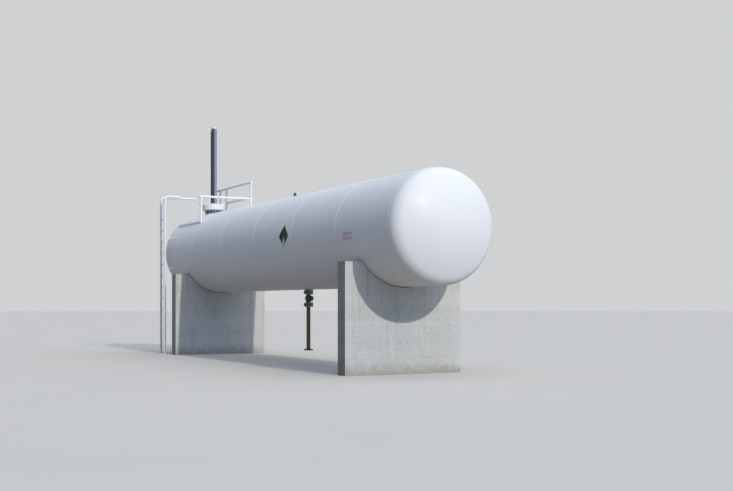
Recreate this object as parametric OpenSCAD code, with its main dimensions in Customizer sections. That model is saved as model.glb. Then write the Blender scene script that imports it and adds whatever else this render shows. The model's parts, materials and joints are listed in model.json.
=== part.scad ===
// Horizontal steel pressure tank on two concrete piers.
// A bolted manway with a vent stack stands on the rear end of the tank,
// with a pipe guard rail, an access ladder and a valved outlet in the belly.
// Millimetres. +X runs along the tank towards its front head and +Z is up.
// The origin is the centre of the base of the front pier.

/* [Tank shell] */
// Outside radius of the shell
tank_r = 1073; // [950:1:1250]
// Thickness of the shell and head plate
wall_t = 14; // [8:1:25]
// Length of one rolled shell course
course_l = 2084; // [1900:1:2400]
// Radius of the tight knuckle round the rim of a head
knuckle_r = 258; // [150:1:400]
// Straight skirt of a head, between its weld and its curve
head_skirt = 50; // [20:1:120]
// Height of the tank axis above the ground
axis_z = 2740; // [2500:1:3200]

/* [Concrete piers] */
// Width of a pier across the tank
pier_w = 2540; // [2350:1:3000]
// Thickness of a pier along the tank
pier_t = 305; // [250:1:500]
// Distance from the front pier's centre to the front end of the shell
front_overhang = 1400; // [900:1:1900]
// Distance from the rear pier's centre to the rear end of the shell
rear_overhang = 1204; // [900:1:1900]
// How far the pier tops lie below the tank axis
horn_drop = 600; // [400:1:800]
// Thickness of the bearing pad in a pier's seat
pad_t = 12; // [6:1:25]
// Width of the bearing pad along the tank
pad_w = 255; // [150:1:300]

/* [Manway] */
// Distance from the rear end of the shell to the manway's centre
manway_inset = 804; // [600:1:1100]
// Outside radius of the neck
neck_r = 229; // [180:1:250]
// Wall of the neck
neck_wall = 16; // [8:1:25]
// Height of the neck above the crown of the shell
neck_rise = 117; // [80:1:250]
// How far the neck reaches inside the crown
neck_inset = 80; // [70:1:150]
// Radius of the manway flange and its cover
flange_r = 305; // [280:1:340]
// Thickness of the manway flange
flange_t = 62; // [30:1:90]
// Thickness of the manway cover
cover_t = 68; // [30:1:90]

/* [Vent stack] */
// Outside radius of the stack pipe
stack_r = 84; // [60:1:110]
// Wall of the stack pipe
stack_wall = 7; // [4:1:12]
// Height of the stack above the manway cover
stack_h = 2130; // [1200:1:2800]
// Radius of the collar at the stack's foot
collar_r = 128; // [118:1:150]
// Thickness of that collar
collar_t = 26; // [12:1:40]
// Depth of the rain cap's skirt
cap_skirt = 34; // [15:1:60]
// Thickness of the rain cap's plate
cap_t = 5; // [3:1:10]
// Height of the clamp band that carries the cap's hinge
band_h = 44; // [30:1:60]
// Thickness of that band
band_t = 5; // [3:1:8]
// Distance from the stack's top down to the middle of the band
band_drop = 104; // [90:1:160]
// Width of the hinge strap
strap_w = 52; // [30:1:70]
// Thickness of the hinge strap
strap_t = 10; // [6:1:16]
// Reach of the cap's counterweight lever
lever_reach = 92; // [60:1:140]
// Radius of the counterweight
weight_r = 19; // [12:1:26]

/* [Guard rail] */
// Outside radius of the guard pipes
rail_r = 30.15; // [24:0.05:32]
// Distance from the rear end of the shell to the front posts
guard_l = 1954; // [1500:1:2400]
// Angle round the shell from its crown to the near post
near_post_angle = 46.24; // [38:0.01:52]
// Angle round the shell from its crown to the far posts
far_post_angle = 36.15; // [28:0.01:52]
// Distance from the rear end of the shell to the far middle post
mid_post_inset = 124; // [60:1:800]
// How far behind the rear end of the shell the far rear post stands
rear_post_reach = 364; // [200:1:420]
// How far the far top rail runs past the rear post
rail_tail = 230; // [60:1:320]
// Height of the cross rail above the crown
cross_rail_h = 355; // [300:1:450]
// Height of the far middle rail above the crown
mid_rail_h = 385; // [300:1:500]
// Height of the far top rail above the crown
top_rail_h = 795; // [650:1:1000]
// Width of the bars that carry the posts on the shell
base_bar_w = 40; // [30:1:60]
// Height of those bars above the shell at their upper edge
base_bar_lip = 5; // [3:1:20]
// How far the near bar runs back from the near post
near_bar_l = 1800; // [1500:1:1900]

/* [Ladder] */
// Distance from the rear end of the shell to the ladder's centre
ladder_inset = 324; // [260:1:600]
// Distance between the centres of the stiles
ladder_w = 340; // [300:1:420]
// Distance from the side of the shell to the stile centres
ladder_standoff = 215; // [180:1:300]
// Outside radius of a stile
stile_r = 30.15; // [21:0.05:32]
// Radius of a rung
rung_r = 12; // [9:1:16]
// Distance from rung to rung
rung_pitch = 305; // [250:1:330]
// Height of the grab rails above the crown
grab_h = 457; // [380:1:700]
// Bend radius of the grab rails
grab_bend = 100; // [70:1:140]
// Reach of the front grab rail in over the shell
front_grab_l = 438; // [300:1:700]
// Reach of the rear grab rail in over the shell
rear_grab_l = 1003; // [700:1:1200]
// Width of the flat bars that hold the ladder to the shell
bracket_w = 50; // [30:1:70]
// Thickness of those flat bars
bracket_t = 10; // [6:1:16]
// Height from one pair of flat bars to the next
bracket_pitch = 830; // [700:1:900]
// Length of a foot plate
foot_l = 130; // [90:1:200]
// Thickness of a foot plate
foot_t = 12; // [8:1:20]

/* [Belly outlet] */
// Distance from the front end of the shell to the outlet
outlet_back = 5565; // [4400:1:5800]
// Outside radius of the outlet pipe
pipe_r = 44.45; // [40:0.05:48]
// Wall of the outlet pipe
pipe_wall = 7.6; // [4:0.1:10]
// Radius of the pipe flanges
pipe_flange_r = 105; // [100:1:115]
// Thickness of the pipe flanges
pipe_flange_t = 28; // [20:1:34]
// Gap from the belly down to the nozzle flange's face
nozzle_drop = 55; // [45:1:120]
// Length of the valve from face to face
valve_l = 283; // [260:1:320]
// Radius of the valve's round body
valve_r = 80; // [70:1:90]
// Reach of the valve's bonnet from the pipe's axis
bonnet_reach = 150; // [120:1:200]
// Radius of the bonnet
bonnet_r = 46; // [36:1:50]
// Height of the drop pipe's lower face above the ground
drop_face_z = 300; // [150:1:500]
// Diameter of the drop pipe's bolt circle
bolt_circle_d = 168.3; // [160:0.1:172]
// Radius of a bolt hole in the drop pipe's lower flange
bolt_hole_r = 11.1; // [9:0.1:12]

/* [Small fittings] */
// Distance from the front end of the shell to the crown fitting
fitting_back = 6300; // [6300:1:6800]
// Radius of the crown fitting's coupling
coupling_r = 36; // [28:1:40]
// Height of the coupling above the crown
coupling_h = 62; // [50:1:140]
// Radius of the plug in the coupling
plug_r = 27; // [16:1:27]
// Height of the plug above the coupling
plug_h = 43; // [20:1:110]
// Distance from the front end of the shell to the plaque's centre
plaque_back = 4527; // [4450:1:4700]
// Height of the plaque's centre above the tank axis
plaque_up = 48; // [0:1:300]
// Side of the square plaque, which hangs on its corner
plaque_side = 335; // [200:1:380]
// Thickness of the plaque
plaque_t = 3; // [2:1:6]

/* [Hidden] */
$fn = 96;

// Clearance where a curved face lies against another piece
seat_gap = 0.3;
// Length added to a cutting body so that it runs clear of what it cuts
cut_over = 10;
// Number of rolled courses in the shell
courses = 6;
// Number of flat steps along the knuckle of a head
knuckle_steps = 18;
// Number of flat steps along the crown of a head
crown_steps = 22;
// Number of sides on the shell and on what is cut to it
shell_sides = 360;
// Number of bolt holes in a pipe flange
bolt_count = 8;
// Levels at which flat bars hold the ladder
bracket_levels = [-0.5, 0.5];

white = [0.90, 0.92, 0.95];
rail_white = [0.93, 0.93, 0.90];
stack_grey = [0.36, 0.39, 0.44];
concrete = [0.70, 0.69, 0.64];
pad_black = [0.16, 0.16, 0.16];
rust = [0.45, 0.27, 0.17];
valve_green = [0.10, 0.20, 0.16];
fitting_dark = [0.20, 0.22, 0.26];
plaque_blue = [0.12, 0.15, 0.22];

shell_l = courses * course_l;
shell_front_x = front_overhang;
shell_rear_x = front_overhang - shell_l;
crown_z = axis_z + tank_r;
belly_z = axis_z - tank_r;
horn_z = axis_z - horn_drop;
seat_r = tank_r + pad_t + 2 * seat_gap;
rear_pier_x = shell_rear_x + rear_overhang;

manway_x = shell_rear_x + manway_inset;
flange_z = crown_z + neck_rise;
cover_z = flange_z + flange_t;
cover_top_z = cover_z + cover_t;
stack_top_z = cover_top_z + stack_h;
cap_outer_r = stack_r + seat_gap + cap_t;
band_z = stack_top_z - band_drop;
band_outer_r = stack_r + seat_gap + band_t;
strap_bottom_z = band_z - band_h / 2;
strap_top_z = stack_top_z - cap_skirt - 2 * seat_gap;
strap_y = -band_outer_r - strap_t;
lever_z = strap_top_z - weight_r;

near_post_y = tank_r * sin(near_post_angle);
far_post_y = tank_r * sin(far_post_angle);
guard_front_x = shell_rear_x + guard_l;
far_mid_x = shell_rear_x + mid_post_inset;
far_rear_x = shell_rear_x - rear_post_reach;
cross_rail_z = crown_z + cross_rail_h;
mid_rail_z = crown_z + mid_rail_h;
top_rail_z = crown_z + top_rail_h;
near_base_z = base_top(near_post_y);
far_base_z = base_top(far_post_y);

ladder_x = shell_rear_x + ladder_inset;
ladder_y = -tank_r - ladder_standoff;
front_stile_x = ladder_x + ladder_w / 2;
rear_stile_x = ladder_x - ladder_w / 2;
grab_z = crown_z + grab_h;
stile_top_z = grab_z - grab_bend;
rung_count = floor(crown_z / rung_pitch);

outlet_x = shell_front_x - outlet_back;
nozzle_face_z = belly_z - nozzle_drop;
valve_face_z = nozzle_face_z - valve_l;
valve_z = nozzle_face_z - valve_l / 2;
pipe_inset = 40;

// The crown of a head is a ball cap whose radius is the tank's diameter,
// and it meets the knuckle at this angle from the axis
crown_r = 2 * tank_r;
crown_angle = asin((tank_r - knuckle_r) / (crown_r - knuckle_r));
head_depth = crown_r - (crown_r - knuckle_r) * cos(crown_angle);

fitting_x = shell_front_x - fitting_back;
plaque_x = shell_front_x - plaque_back;

// Height of a base bar's top: just over the shell at the upper edge of the bar or the post
function base_top(post_y) =
    axis_z + sqrt(pow(tank_r, 2) - pow(post_y - max(base_bar_w / 2, rail_r), 2)) + base_bar_lip;

// Outline of half a dished head, lying the given depth inside its outer face
function head_curve(inset) = concat(
    [for (i = [0:knuckle_steps]) [
        tank_r - knuckle_r + (knuckle_r - inset) * cos((90 - crown_angle) * i / knuckle_steps),
        (knuckle_r - inset) * sin((90 - crown_angle) * i / knuckle_steps)
    ]],
    [for (i = [1:crown_steps]) [
        (crown_r - inset) * sin(crown_angle * (1 - i / crown_steps)),
        (crown_r - inset) * cos(crown_angle * (1 - i / crown_steps)) - (crown_r - head_depth)
    ]]
);

function reversed(points) = [for (i = [len(points) - 1:-1:0]) points[i]];

// A round bar along +X from x_from to x_to
module bar_x(radius, x_from, x_to, y, z) {
    translate([x_from, y, z])
        rotate([0, 90, 0])
            cylinder(r = radius, h = x_to - x_from);
}

// A round bar along +Y from y_from to y_to
module bar_y(radius, y_from, y_to, x, z) {
    translate([x, y_from, z])
        rotate([-90, 0, 0])
            cylinder(r = radius, h = y_to - y_from);
}

// A round bar along +Z from z_from to z_to
module bar_z(radius, z_from, z_to, x, y) {
    translate([x, y, z_from])
        cylinder(r = radius, h = z_to - z_from);
}

// The space that the shell takes up, run out past both heads
module shell_space(extra) {
    bar_x(
        tank_r + extra,
        shell_rear_x - head_skirt - head_depth - cut_over,
        shell_front_x + head_skirt + head_depth + cut_over,
        0,
        axis_z,
        $fn = shell_sides
    );
}

// The holes that the fittings need in the shell
module shell_holes() {
    bar_z(neck_r + seat_gap, axis_z, crown_z + cut_over, manway_x, 0);
    bar_z(pipe_r + seat_gap, belly_z - cut_over, axis_z, outlet_x, 0);
    bar_z(coupling_r + seat_gap, axis_z, crown_z + cut_over, fitting_x, 0);
}

module shell_course(index) {
    course_front_x = shell_front_x - index * course_l;
    color(white)
        difference() {
            bar_x(
                tank_r,
                course_front_x - course_l,
                course_front_x,
                0,
                axis_z,
                $fn = shell_sides
            );
            bar_x(
                tank_r - wall_t,
                course_front_x - course_l - cut_over,
                course_front_x + cut_over,
                0,
                axis_z,
                $fn = shell_sides
            );
            shell_holes();
        }
}

// A head with its skirt, standing on its open end
module head() {
    inner_r = tank_r - wall_t;
    outer = head_curve(0);
    inner = head_curve(wall_t);
    rotate_extrude($fn = shell_sides)
        union() {
            translate([inner_r, 0])
                square([wall_t, head_skirt]);
            translate([0, head_skirt])
                polygon(concat(outer, reversed(inner)));
        }
}

module front_head() {
    color(white)
        translate([shell_front_x, 0, axis_z])
            rotate([0, 90, 0])
                head();
}

module rear_head() {
    color(white)
        translate([shell_rear_x, 0, axis_z])
            rotate([0, -90, 0])
                head();
}

// A concrete pier with a round seat for the tank
module pier(x) {
    color(concrete)
        difference() {
            translate([x - pier_t / 2, -pier_w / 2, 0])
                cube([pier_t, pier_w, horn_z]);
            bar_x(seat_r, x - pier_t, x + pier_t, 0, axis_z, $fn = shell_sides);
        }
}

// The pad between a pier's seat and the shell
module bearing_pad(x) {
    color(pad_black)
        intersection() {
            difference() {
                bar_x(
                    seat_r - seat_gap,
                    x - pad_w / 2,
                    x + pad_w / 2,
                    0,
                    axis_z,
                    $fn = shell_sides
                );
                shell_space(seat_gap);
            }
            translate([x - pad_w, -pier_w / 2, 0])
                cube([2 * pad_w, pier_w, horn_z]);
        }
}

module manway_neck() {
    color(white)
        difference() {
            bar_z(neck_r, crown_z - neck_inset, flange_z + flange_t, manway_x, 0);
            bar_z(
                neck_r - neck_wall,
                crown_z - neck_inset - cut_over,
                flange_z + flange_t + cut_over,
                manway_x,
                0
            );
        }
}

module manway_flange() {
    color(white)
        difference() {
            bar_z(flange_r, flange_z, cover_z, manway_x, 0);
            bar_z(neck_r + seat_gap, flange_z - cut_over, cover_z + cut_over, manway_x, 0);
        }
}

module manway_cover() {
    color(white)
        bar_z(flange_r, cover_z, cover_top_z, manway_x, 0);
}

module vent_stack() {
    color(stack_grey)
        difference() {
            bar_z(stack_r, cover_top_z, stack_top_z, manway_x, 0);
            bar_z(
                stack_r - stack_wall,
                cover_top_z - cut_over,
                stack_top_z + cut_over,
                manway_x,
                0
            );
        }
}

module stack_collar() {
    color(white)
        difference() {
            bar_z(collar_r, cover_top_z, cover_top_z + collar_t, manway_x, 0);
            bar_z(
                stack_r + seat_gap,
                cover_top_z - cut_over,
                cover_top_z + collar_t + cut_over,
                manway_x,
                0
            );
        }
}

module rain_cap() {
    color(white)
        difference() {
            bar_z(cap_outer_r, stack_top_z - cap_skirt, stack_top_z + cap_t, manway_x, 0);
            bar_z(
                stack_r + seat_gap,
                stack_top_z - cap_skirt - cut_over,
                stack_top_z,
                manway_x,
                0
            );
        }
}

// A clamp band on the stack, with the strap that the cap hinges on
module cap_hinge() {
    color(rail_white)
        difference() {
            union() {
                bar_z(band_outer_r, band_z - band_h / 2, band_z + band_h / 2, manway_x, 0);
                translate([manway_x - strap_w / 2, strap_y, strap_bottom_z])
                    cube([strap_w, strap_t - strap_y - band_outer_r, strap_top_z - strap_bottom_z]);
            }
            bar_z(
                stack_r + seat_gap,
                band_z - band_h,
                stack_top_z,
                manway_x,
                0
            );
        }
}

// The lever that swings the cap open, with its round counterweight
module cap_lever() {
    color(rail_white)
        union() {
            translate([manway_x - weight_r / 2, strap_y - lever_reach, lever_z - weight_r / 2])
                cube([weight_r, lever_reach - seat_gap, weight_r]);
            bar_x(
                weight_r,
                manway_x - strap_w / 2,
                manway_x + strap_w / 2,
                strap_y - lever_reach,
                lever_z
            );
        }
}

// A bar that lies along the shell, with its underside cut to the shell
module base_bar(x_from, x_to, y, top_z) {
    color(rail_white)
        difference() {
            translate([x_from, y - base_bar_w / 2, axis_z])
                cube([x_to - x_from, base_bar_w, top_z - axis_z]);
            shell_space(seat_gap);
        }
}

module near_base_bar() {
    base_bar(
        guard_front_x - near_bar_l,
        guard_front_x + rail_r,
        -near_post_y,
        near_base_z
    );
}

module far_base_bar() {
    base_bar(far_rear_x - rail_r, guard_front_x + rail_r, far_post_y, far_base_z);
}

module near_post() {
    color(rail_white)
        difference() {
            bar_z(rail_r, near_base_z, cross_rail_z, guard_front_x, -near_post_y);
            bar_y(
                rail_r + seat_gap,
                -near_post_y - 2 * rail_r,
                -near_post_y + 2 * rail_r,
                guard_front_x,
                cross_rail_z
            );
        }
}

// A far post, coped to the top rail that lies on it
module far_post(x) {
    color(rail_white)
        difference() {
            bar_z(rail_r, far_base_z, top_rail_z, x, far_post_y);
            bar_x(
                rail_r + seat_gap,
                x - 2 * rail_r,
                x + 2 * rail_r,
                far_post_y,
                top_rail_z
            );
        }
}

module cross_rail() {
    color(rail_white)
        difference() {
            bar_y(
                rail_r,
                -near_post_y - rail_r,
                far_post_y,
                guard_front_x,
                cross_rail_z
            );
            bar_z(
                rail_r + seat_gap,
                cross_rail_z - 2 * rail_r,
                cross_rail_z + 2 * rail_r,
                guard_front_x,
                far_post_y
            );
        }
}

module far_middle_rail() {
    color(rail_white)
        difference() {
            bar_x(rail_r, far_mid_x, guard_front_x, far_post_y, mid_rail_z);
            for (x = [far_mid_x, guard_front_x])
                bar_z(
                    rail_r + seat_gap,
                    mid_rail_z - 2 * rail_r,
                    mid_rail_z + 2 * rail_r,
                    x,
                    far_post_y
                );
        }
}

module far_top_rail() {
    color(rail_white)
        bar_x(
            rail_r,
            far_rear_x - rail_tail,
            guard_front_x + rail_r,
            far_post_y,
            top_rail_z
        );
}

module ladder_stile(x) {
    color(rail_white)
        bar_z(stile_r, foot_t, stile_top_z, x, ladder_y);
}

module ladder_rungs() {
    color(rail_white)
        for (i = [1:rung_count])
            bar_x(
                rung_r,
                rear_stile_x + stile_r + seat_gap,
                front_stile_x - stile_r - seat_gap,
                ladder_y,
                i * rung_pitch
            );
}

// Flat bars from each stile in to the side of the shell
module ladder_brackets() {
    color(rail_white)
        difference() {
            for (x = [front_stile_x, rear_stile_x])
                for (level = bracket_levels)
                    translate([
                        x - bracket_w / 2,
                        ladder_y,
                        axis_z + level * bracket_pitch - bracket_t / 2
                    ])
                        cube([bracket_w, -ladder_y, bracket_t]);
            for (x = [front_stile_x, rear_stile_x])
                bar_z(stile_r + seat_gap, 0, stile_top_z, x, ladder_y);
            shell_space(seat_gap);
        }
}

module ladder_feet() {
    color(rail_white)
        for (x = [front_stile_x, rear_stile_x])
            translate([x - foot_l / 2, ladder_y - foot_l / 2, 0])
                cube([foot_l, foot_l, foot_t]);
}

// A grab rail that bends in from the top of a stile and over the shell
module grab_rail(x, reach) {
    color(rail_white)
        union() {
            translate([x, ladder_y + grab_bend, stile_top_z])
                rotate([90, 0, -90])
                    rotate_extrude(angle = 90)
                        translate([grab_bend, 0])
                            circle(r = stile_r);
            bar_y(stile_r, ladder_y + grab_bend, ladder_y + reach, x, grab_z);
        }
}

// The nozzle that is welded through the belly, with its flange
module outlet_nozzle() {
    color(rust)
        difference() {
            union() {
                bar_z(pipe_r, nozzle_face_z, belly_z + pipe_inset, outlet_x, 0);
                bar_z(pipe_flange_r, nozzle_face_z, nozzle_face_z + pipe_flange_t, outlet_x, 0);
            }
            bar_z(
                pipe_r - pipe_wall,
                nozzle_face_z - cut_over,
                belly_z + pipe_inset + cut_over,
                outlet_x,
                0
            );
        }
}

module outlet_valve() {
    color(valve_green)
        difference() {
            union() {
                bar_z(pipe_r + pipe_wall, valve_face_z, nozzle_face_z, outlet_x, 0);
                for (z = [valve_face_z, nozzle_face_z - pipe_flange_t])
                    bar_z(pipe_flange_r, z, z + pipe_flange_t, outlet_x, 0);
                translate([outlet_x, 0, valve_z])
                    sphere(r = valve_r);
                bar_x(bonnet_r, outlet_x, outlet_x + bonnet_reach, 0, valve_z);
            }
            bar_z(
                pipe_r - pipe_wall,
                valve_face_z - cut_over,
                nozzle_face_z + cut_over,
                outlet_x,
                0
            );
        }
}

// The pipe that hangs from the valve, open to bolt a line onto its lower face
module drop_pipe() {
    color(rust)
        difference() {
            union() {
                bar_z(pipe_r, drop_face_z, valve_face_z, outlet_x, 0);
                for (z = [drop_face_z, valve_face_z - pipe_flange_t])
                    bar_z(pipe_flange_r, z, z + pipe_flange_t, outlet_x, 0);
            }
            bar_z(
                pipe_r - pipe_wall,
                drop_face_z - cut_over,
                valve_face_z + cut_over,
                outlet_x,
                0
            );
            for (i = [0:bolt_count - 1])
                translate([outlet_x, 0, 0])
                    rotate([0, 0, (i + 0.5) * 360 / bolt_count])
                        bar_z(
                            bolt_hole_r,
                            drop_face_z - cut_over,
                            drop_face_z + pipe_flange_t + cut_over,
                            bolt_circle_d / 2,
                            0
                        );
        }
}

module crown_fitting() {
    color(fitting_dark)
        union() {
            bar_z(coupling_r, crown_z - pipe_inset, crown_z + coupling_h, fitting_x, 0);
            bar_z(plug_r, crown_z, crown_z + coupling_h + plug_h, fitting_x, 0);
        }
}

// A thin plaque that follows the side of the shell
module diamond_plaque() {
    color(plaque_blue)
        intersection() {
            difference() {
                shell_space(seat_gap + plaque_t);
                shell_space(seat_gap);
            }
            translate([plaque_x, -tank_r, axis_z + plaque_up])
                rotate([0, 45, 0])
                    cube([plaque_side, tank_r, plaque_side], center = true);
        }
}

shell_course(0);  // shell_course_1
shell_course(1);  // shell_course_2
shell_course(2);  // shell_course_3
shell_course(3);  // shell_course_4
shell_course(4);  // shell_course_5
shell_course(5);  // shell_course_6
front_head();
rear_head();
pier(0);  // front_pier
pier(rear_pier_x);  // rear_pier
bearing_pad(0);  // front_bearing_pad
bearing_pad(rear_pier_x);  // rear_bearing_pad
manway_neck();
manway_flange();
manway_cover();
vent_stack();
stack_collar();
rain_cap();
cap_hinge();
cap_lever();
near_base_bar();
far_base_bar();
near_post();
far_post(guard_front_x);  // far_front_post
far_post(far_mid_x);  // far_middle_post
far_post(far_rear_x);  // far_rear_post
cross_rail();
far_middle_rail();
far_top_rail();
ladder_stile(front_stile_x);  // ladder_front_stile
ladder_stile(rear_stile_x);  // ladder_rear_stile
ladder_rungs();
ladder_brackets();
ladder_feet();
grab_rail(front_stile_x, front_grab_l);  // front_grab_rail
grab_rail(rear_stile_x, rear_grab_l);  // rear_grab_rail
outlet_nozzle();
outlet_valve();
drop_pipe();
crown_fitting();
diamond_plaque();
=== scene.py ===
import json
import math
import random

import bpy
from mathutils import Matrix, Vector, noise


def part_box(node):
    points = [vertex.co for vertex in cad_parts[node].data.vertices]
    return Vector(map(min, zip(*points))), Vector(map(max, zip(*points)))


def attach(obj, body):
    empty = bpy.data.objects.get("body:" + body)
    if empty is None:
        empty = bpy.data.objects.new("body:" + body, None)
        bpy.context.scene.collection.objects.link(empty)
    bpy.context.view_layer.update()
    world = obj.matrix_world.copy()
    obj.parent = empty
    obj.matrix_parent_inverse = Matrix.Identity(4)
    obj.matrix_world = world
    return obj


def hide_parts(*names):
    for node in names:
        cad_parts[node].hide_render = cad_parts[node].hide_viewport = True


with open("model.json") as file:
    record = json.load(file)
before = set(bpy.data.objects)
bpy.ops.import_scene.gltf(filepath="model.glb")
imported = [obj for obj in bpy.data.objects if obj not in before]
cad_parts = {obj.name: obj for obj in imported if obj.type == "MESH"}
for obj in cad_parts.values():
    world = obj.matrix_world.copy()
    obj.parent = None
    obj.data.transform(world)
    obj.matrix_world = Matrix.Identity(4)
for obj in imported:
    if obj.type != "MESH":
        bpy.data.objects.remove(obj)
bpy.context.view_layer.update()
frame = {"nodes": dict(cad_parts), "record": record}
NODES = frame["nodes"]
TAU = 2 * math.pi
X = Vector((1, 0, 0))
Y = Vector((0, 1, 0))
Z = Vector((0, 0, 1))
dice = random.Random(12)


def centre(node):
    """Middle of a node's box."""
    a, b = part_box(node)
    return (a + b) / 2


def half_width(node):
    """Half of a node's extent along X, which is the radius of an upright round piece."""
    a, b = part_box(node)
    return (b.x - a.x) / 2


# Places and sizes read from the frame, in metres
low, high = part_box("shell_course_1")
AXIS_Z = (low.z + high.z) / 2
SHELL_R = (high.z - low.z) / 2
SHELL_FRONT = high.x
COURSE_L = high.x - low.x
COURSE_COUNT = 6
COURSES = [f"shell_course_{i + 1}" for i in range(COURSE_COUNT)]
SEAMS = [SHELL_FRONT - i * COURSE_L for i in range(COURSE_COUNT + 1)]
SHELL_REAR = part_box(COURSES[-1])[0].x
PIER_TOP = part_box("front_pier")[1].z
MANWAY_X = centre("manway_neck").x
NECK_R = half_width("manway_neck")
FLANGE_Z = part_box("manway_flange")[0].z
HINGE_LOW, HINGE_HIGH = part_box("cap_hinge")

# Sizes of the part that no box gives
PLATE_T = 0.014
HEAD_SKIRT = 0.050
KNUCKLE_R = 0.258
HEAD_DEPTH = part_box("front_head")[1].x - SHELL_FRONT - HEAD_SKIRT
CLAMP_BAND_H = 0.044
STRAP_T = 0.010
RUNG_PITCH = 0.305
BRACKET_HALF_W = 0.025
BRACKET_HALF_T = 0.005
OUTLET_PIPE_R = 0.04445
OUTLET_FLANGE_T = 0.028
OUTLET_BOLT_CIRCLE_R = 0.08415
OUTLET_BOLTS = 8

# The two faded bars on the near side of the first course
BAR_X = (-0.342, 0.044)
UPPER_BAR_Z = (AXIS_Z - 0.103, AXIS_Z - 0.035)
LOWER_BAR_Z = (AXIS_Z - 0.185, AXIS_Z - 0.117)
NEAR_SIDE_Y = (-2.0, 0.0)

# Facets round the shell and heads, and how far these stay inside the true outline
SHELL_SIDES = 224
SKIN = 0.0006


# Node trees for the materials

class Tree:
    """A small helper that adds nodes to one material and links them."""

    def __init__(self, name):
        self.material = bpy.data.materials.new(name)
        self.material.use_nodes = True
        self.nodes = self.material.node_tree.nodes
        self.links = self.material.node_tree.links
        self.shader = self.nodes["Principled BSDF"]
        self.place = self.add("ShaderNodeTexCoord").outputs["Object"]

    def add(self, kind, **values):
        node = self.nodes.new(kind)
        for key, value in values.items():
            setattr(node, key, value)
        return node

    def feed(self, socket, value):
        if isinstance(value, bpy.types.NodeSocket):
            self.links.new(value, socket)
        else:
            socket.default_value = value

    def stretch(self, x, y, z):
        node = self.add("ShaderNodeMapping")
        self.links.new(self.place, node.inputs["Vector"])
        node.inputs["Scale"].default_value = (x, y, z)
        return node.outputs["Vector"]

    def noise(self, scale, detail=3.0, rough=0.5, place=None):
        node = self.add("ShaderNodeTexNoise")
        self.links.new(place or self.place, node.inputs["Vector"])
        node.inputs["Scale"].default_value = scale
        node.inputs["Detail"].default_value = detail
        node.inputs["Roughness"].default_value = rough
        return node.outputs["Fac"]

    def cells(self, scale):
        """Distance to the nearest of many scattered points."""
        node = self.add("ShaderNodeTexVoronoi")
        self.links.new(self.place, node.inputs["Vector"])
        node.inputs["Scale"].default_value = scale
        return node.outputs["Distance"]

    def math(self, what, a, b=0.0):
        node = self.add("ShaderNodeMath", operation=what)
        for socket, value in zip(node.inputs, (a, b)):
            self.feed(socket, value)
        return node.outputs[0]

    def times(self, a, b):
        return self.math("MULTIPLY", a, b)

    def plus(self, a, b):
        return self.math("ADD", a, b)

    def minus(self, a, b):
        return self.math("SUBTRACT", a, b)

    def step(self, value, start, end):
        """0 where value is at start, 1 where it is at end, smooth between."""
        node = self.add("ShaderNodeMapRange", interpolation_type="SMOOTHSTEP")
        self.feed(node.inputs["Value"], value)
        node.inputs["From Min"].default_value = min(start, end)
        node.inputs["From Max"].default_value = max(start, end)
        node.inputs["To Min"].default_value = 0.0 if start < end else 1.0
        node.inputs["To Max"].default_value = 1.0 if start < end else 0.0
        return node.outputs["Result"]

    def spread(self, value, low_end, high_end):
        """Maps 0 to 1 onto low_end to high_end."""
        node = self.add("ShaderNodeMapRange")
        self.feed(node.inputs["Value"], value)
        node.inputs["To Min"].default_value = low_end
        node.inputs["To Max"].default_value = high_end
        return node.outputs["Result"]

    def mix(self, share, a, b, blend="MIX"):
        node = self.add("ShaderNodeMix", data_type="RGBA", blend_type=blend)
        self.feed(node.inputs[0], share)
        self.feed(node.inputs[6], a if isinstance(a, bpy.types.NodeSocket) else (*a, 1.0))
        self.feed(node.inputs[7], b if isinstance(b, bpy.types.NodeSocket) else (*b, 1.0))
        return node.outputs[2]

    def axis(self, letter, vector=None):
        node = self.add("ShaderNodeSeparateXYZ")
        self.links.new(vector or self.place, node.inputs[0])
        return node.outputs[letter]

    def facing(self, letter):
        """The surface normal's share along one axis."""
        return self.axis(letter, self.add("ShaderNodeNewGeometry").outputs["Normal"])

    def bump(self, heights):
        """Chains bumps from a list of (height, strength, distance)."""
        last = None
        for height, strength, distance in heights:
            node = self.add("ShaderNodeBump")
            node.inputs["Strength"].default_value = strength
            node.inputs["Distance"].default_value = distance
            self.links.new(height, node.inputs["Height"])
            if last:
                self.links.new(last, node.inputs["Normal"])
            last = node.outputs["Normal"]
        self.links.new(last, self.shader.inputs["Normal"])

    def finish(self, color, rough, metallic=0.0):
        self.feed(self.shader.inputs["Base Color"], color)
        self.feed(self.shader.inputs["Roughness"], rough)
        self.shader.inputs["Metallic"].default_value = metallic
        return self.material


def box_mask(t, spans, edge):
    """1 inside the spans given per axis, 0 outside, with ragged edges."""
    result = None
    wobble = t.times(t.minus(t.noise(60.0, 2.0), 0.5), edge * 3)
    for letter, (start, end) in spans.items():
        value = t.plus(t.axis(letter), wobble)
        past_start = t.step(value, start, start + edge)
        before_end = t.step(value, end, end - edge)
        inside = t.times(past_start, before_end)
        result = inside if result is None else t.times(result, inside)
    return result


def seam_distance(t):
    """Distance along X to the nearest welded seam of the shell."""
    along = t.math("DIVIDE", t.minus(SHELL_FRONT, t.axis("X")), COURSE_L)
    share = t.math("FRACT", t.plus(along, 0.5))
    return t.times(t.math("ABSOLUTE", t.minus(share, 0.5)), COURSE_L)


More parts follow.
